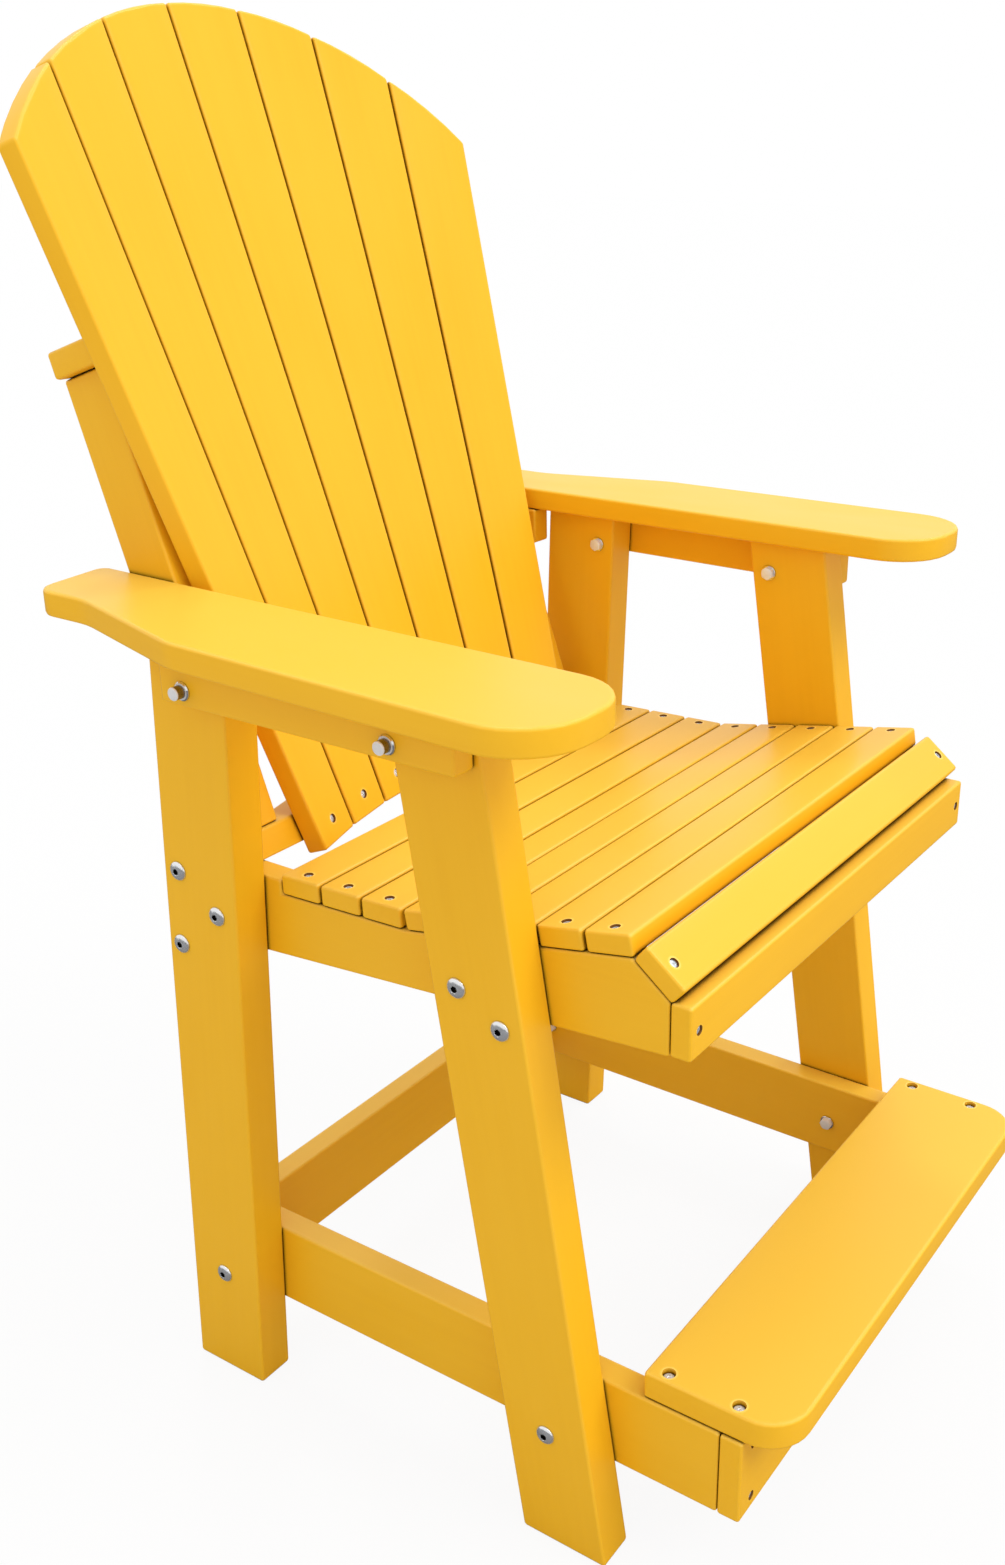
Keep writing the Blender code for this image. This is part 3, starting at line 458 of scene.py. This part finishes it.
def turned_mesh(name, start, rings, end, finishes):
    """A closed mesh about Z from rings of (outline, height, finish), between two heights on the axis.

    The finish is the number of the material from the ring before to this one.
    """
    shape = bmesh.new()
    angles = [math.tau * point / ROUND_POINTS for point in range(ROUND_POINTS)]
    loops = []
    for outline, height, _ in rings:
        polar = [(outline(angle), angle) for angle in angles]
        loops.append([shape.verts.new((r * math.cos(a), r * math.sin(a), height)) for r, a in polar])
    tip = shape.verts.new((0, 0, start))
    tail = shape.verts.new((0, 0, end))
    for here in range(ROUND_POINTS):
        after = (here + 1) % ROUND_POINTS
        shape.faces.new((tip, loops[0][here], loops[0][after])).material_index = rings[0][2]
        shape.faces.new((tail, loops[-1][after], loops[-1][here])).material_index = rings[-1][2]
        for first, second, ring in zip(loops, loops[1:], rings[1:]):
            corners = (first[here], second[here], second[after], first[after])
            shape.faces.new(corners).material_index = ring[2]
    bmesh.ops.recalc_face_normals(shape, faces=shape.faces)
    mesh = bpy.data.meshes.new(name)
    shape.to_mesh(mesh)
    shape.free()
    mesh.shade_smooth()
    mesh.set_sharp_from_angle(angle=FASTENER_CREASE)
    for finish in finishes:
        mesh.materials.append(finish)
    return mesh


def nut_rings(radius, seat):
    """A washer of this radius below the seat, and a closed hexagon nut on it with its corners turned off."""
    washer_face = radius - NUT_WASHER_ROUND
    washer_end = seat - NUT_WASHER_THICKNESS
    nut_end = seat - NUT_STACK
    corner = radius - NUT_MARGIN
    flats = 2 * corner * math.cos(math.pi / 6)
    nut_face = flats / 2 * NUT_FACE_SHARE
    rings = [
        (circle(washer_face), seat, POLISHED),
        (circle(radius), seat - NUT_WASHER_ROUND, POLISHED),
        (circle(radius), washer_end + NUT_WASHER_ROUND, POLISHED),
        (circle(washer_face), washer_end, POLISHED),
        (hexagon(flats), washer_end, POLISHED),
    ]
    for step in range(NUT_STEPS + 1):
        reach = corner + (nut_face - corner) * step / NUT_STEPS
        height = nut_end + (reach - nut_face) * math.tan(NUT_CHAMFER)
        rings.append((hexagon_within(flats, reach), height, FROSTED))
    return rings


def button_bolt(node_name, finishes):
    """A domed head with a hexagon socket outside, its shank through the boards, a washer and nut inside.

    Gives the mesh, and how far its outer end stands above the board.
    """
    low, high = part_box(node_name)
    head_radius = (high.y - low.y) / 2
    seat = HEAD_HEIGHT + NUT_STACK - (high.x - low.x)
    chamfer_radius = SOCKET_FLATS / 2 / math.cos(math.pi / 6) + SOCKET_CHAMFER
    dome_end = math.acos(chamfer_radius / head_radius)
    top = HEAD_HEIGHT * math.sin(dome_end)
    floor = top - SOCKET_DEPTH
    rings = [
        (hexagon(SOCKET_FLATS), floor, SOCKET),
        (hexagon(SOCKET_FLATS), top - SOCKET_CHAMFER, SOCKET),
    ]
    for step in range(HEAD_STEPS + 1):
        rise = dome_end * (1 - step / HEAD_STEPS)
        rings.append((circle(head_radius * math.cos(rise)), HEAD_HEIGHT * math.sin(rise), SATIN))
    rings.append((circle(SHANK_RADIUS), 0, POLISHED))
    rings.append((circle(SHANK_RADIUS), seat, POLISHED))
    rings += nut_rings(NUT_RADIUS, seat)
    return turned_mesh(node_name, floor - SOCKET_POINT, rings, seat - NUT_STACK, finishes), HEAD_HEIGHT


def support_bolt(node_name, finishes):
    """A washer and a round flat-ended cap outside, the shank through the boards, a washer and nut inside.

    Gives the mesh, and how far its outer end stands above the board.
    """
    low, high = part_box(node_name)
    washer_radius = (high.y - low.y) / 2
    seat = CAP_STACK + NUT_STACK - (high.x - low.x)
    rings = []
    for step in range(CAP_STEPS + 1):
        turn = math.pi / 2 * step / CAP_STEPS
        radius = CAP_RADIUS - CAP_ROUND * (1 - math.sin(turn))
        rings.append((circle(radius), CAP_STACK - CAP_ROUND * (1 - math.cos(turn)), FROSTED))
    rings += [
        # Painted shade: the neck's steel is darkened to show the shaded board it mirrors
        (circle(CAP_RADIUS), CAP_WASHER_THICKNESS, SHADED_NECK),
        (circle(washer_radius - CAP_WASHER_ROUND), CAP_WASHER_THICKNESS, FROSTED),
        (circle(washer_radius), CAP_WASHER_THICKNESS - CAP_WASHER_ROUND, POLISHED),
        (circle(washer_radius), 0, POLISHED),
        (circle(SHANK_RADIUS), 0, POLISHED),
        (circle(SHANK_RADIUS), seat, POLISHED),
    ]
    rings += nut_rings(SUPPORT_NUT_RADIUS, seat)
    return turned_mesh(node_name, CAP_STACK, rings, seat - NUT_STACK, finishes), CAP_STACK


def place_fastener(name, mesh, centre, outward, number):
    """Sets a turned mesh with its Z outward, each one turned about its axis to its own angle."""
    made = bpy.data.objects.new(name, mesh)
    bpy.context.scene.collection.objects.link(made)
    facing = Vector((0, 0, 1)).rotation_difference(outward).to_matrix().to_4x4()
    made.matrix_world = Matrix.Translation(centre) @ facing @ Matrix.Rotation(FASTENER_TURN * number, 4, "Z")
    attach(made, "root")
    return made


def dress_bolts(names, finishes):
    for number, name in enumerate(names):
        shape = support_bolt if name.startswith("support_bolt") else button_bolt
        mesh, height = shape(name, finishes)
        low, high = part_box(name)
        middle = (low + high) / 2
        side = math.copysign(1, middle.x)
        outermost = max(low.x, high.x, key=abs)
        seat = Vector((outermost - side * height, middle.y, middle.z))
        bolt = place_fastener(f"{name}_turned", mesh, seat, Vector((side, 0, 0)), number)
        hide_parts(name)


def screw_mesh(head_radius, rim, finishes):
    """A low domed screw head with a lobed drive, standing on z = 0, its dome on a rim of this height."""
    drive = head_radius * DRIVE_SHARE
    drive_edge = drive * (1 + DRIVE_LOBE)
    dome_end = math.acos(drive_edge / head_radius)
    top = rim + SCREW_DOME * math.sin(dome_end)
    rings = [(lobes(drive * DRIVE_TAPER), top - DRIVE_DEPTH, SATIN), (lobes(drive), top, SATIN)]
    for step in range(SCREW_STEPS + 1):
        rise = dome_end * (1 - step / SCREW_STEPS)
        # The dome takes the painted cool reflection
        rings.append((circle(head_radius * math.cos(rise)), rim + SCREW_DOME * math.sin(rise), COOL_REFLECTION_PAINTED))
    rings.append((circle(head_radius), SCREW_LIFT, SATIN))
    return turned_mesh("screw head", top - DRIVE_DEPTH, rings, SCREW_LIFT, finishes)


def set_screws(boards, floors, finishes):
    meshes = {}
    number = 0
    for board in boards:
        for place, (centre, outward, radius) in enumerate(floors[board.name], 1):
            wide = radius > WIDE_FLOOR_RADIUS
            if wide not in meshes:
                gap, rim = (WIDE_SCREW_GAP, WIDE_SCREW_RIM) if wide else (SCREW_GAP, SCREW_RIM)
                meshes[wide] = screw_mesh(radius - gap, rim, finishes)
            place_fastener(f"{board.name}_screw_{place}", meshes[wide], centre, outward, number)
            number += 1


def seen_white(tree):
    """1 for the rays that show the background: the camera's, and those from mirrors and clear glass."""
    rays = node(tree, "ShaderNodeLightPath").outputs
    seen = rays["Is Camera Ray"]
    for kind in ("Is Glossy Ray", "Is Transmission Ray"):
        seen = node(tree, "ShaderNodeMath", {0: seen, 1: rays[kind]}, operation="MAXIMUM").outputs[0]
    return seen


def studio_room():
    """Plain light from all round, with a white background."""
    world = bpy.data.worlds.new("white studio")
    bpy.context.scene.world = world
    world.use_nodes = True
    tree = world.node_tree
    tree.nodes.clear()
    light = node(tree, "ShaderNodeBackground", {"Color": linear(WHITE), "Strength": ROOM_STRENGTH})
    white = node(tree, "ShaderNodeBackground", {"Color": linear(WHITE), "Strength": 1.0})
    shown = node(tree, "ShaderNodeMixShader", {0: seen_white(tree), 1: light.outputs[0], 2: white.outputs[0]})
    node(tree, "ShaderNodeOutputWorld", {"Surface": shown.outputs[0]})


def studio_sheet(name, corners, finish):
    mesh = bpy.data.meshes.new(name)
    mesh.from_pydata(corners, [], [(0, 1, 2, 3)])
    mesh.materials.append(finish)
    sheet = bpy.data.objects.new(name, mesh)
    bpy.context.scene.collection.objects.link(sheet)
    return sheet


def flat_corners(size, height):
    half = size / 2
    return [(-half, -half, height), (half, -half, height), (half, half, height), (-half, half, height)]


def studio_floor():
    """Pale paper that is seen white, with the chair's shadow left faint on it."""
    paper, tree = empty_material("white studio paper")
    matte = node(tree, "ShaderNodeBsdfDiffuse", {"Color": linear(FLOOR_PAPER)}).outputs[0]
    white = node(tree, "ShaderNodeEmission", {"Color": linear(WHITE), "Strength": 1.0}).outputs[0]
    seen = {0: seen_white(tree), 1: FLOOR_WHITENESS}
    whiteness = node(tree, "ShaderNodeMath", seen, operation="MULTIPLY").outputs[0]
    shown = node(tree, "ShaderNodeMixShader", {0: whiteness, 1: matte, 2: white})
    node(tree, "ShaderNodeOutputMaterial", {"Surface": shown.outputs[0]})
    studio_sheet("studio_floor", flat_corners(FLOOR_SIZE, 0), paper)


def grey_cloths():
    """Cloths that only reflections see: a darker side for the steel, and a calmer sheen on the boards."""
    felt, tree = empty_material("grey felt")
    matte = node(tree, "ShaderNodeBsdfDiffuse", {"Color": linear(CLOTH_GREY)})
    node(tree, "ShaderNodeOutputMaterial", {"Surface": matte.outputs[0]})
    half = CLOTH_SIZE / 2
    hung = [(-half, -half, 0), (-half, half, 0), (-half, half, CLOTH_HEIGHT), (-half, -half, CLOTH_HEIGHT)]
    for name, corners in (("floor_cloth", flat_corners(CLOTH_SIZE, CLOTH_LIFT)), ("hung_cloth", hung)):
        cloth = studio_sheet(name, corners, felt)
        cloth.visible_camera = False
        cloth.visible_diffuse = False
        cloth.visible_shadow = False
        cloth.visible_transmission = False


def studio_light(name, strength, spread, origin):
    """A far lamp that shines from this direction, as wide as its spread."""
    data = bpy.data.lights.new(name, "SUN")
    data.energy = strength
    data.angle = spread
    lamp = bpy.data.objects.new(name, data)
    bpy.context.scene.collection.objects.link(lamp)
    lamp.rotation_euler = Vector(origin).to_track_quat("Z", "Y").to_euler()


def photo_camera():
    data = bpy.data.cameras.new("camera")
    data.sensor_width = CAMERA_SENSOR_MM
    data.lens = CAMERA_LENS_MM
    data.shift_x, data.shift_y = CAMERA_SHIFT
    camera = bpy.data.objects.new("camera", data)
    bpy.context.scene.collection.objects.link(camera)
    camera.location = CAMERA_PLACE
    camera.rotation_euler = CAMERA_TURN
    bpy.context.scene.camera = camera


# The chair
bolt_names = sorted(name for name in nodes if "_bolt_" in name)
boards = [nodes[name] for name in sorted(nodes) if name not in bolt_names]
board_floors = {board.name: counterbore_floors(board) for board in boards}
steel = [stainless_steel(name, *values) for name, values in STEELS.items()]
finish_boards(boards, board_floors)
dress_bolts(bolt_names, steel)
set_screws(boards, board_floors, steel)

# The studio
bpy.context.scene.view_settings.view_transform = "Standard"
photo_camera()
studio_room()
studio_floor()
grey_cloths()
for lamp_name, values in LAMPS.items():
    studio_light(lamp_name, *values)
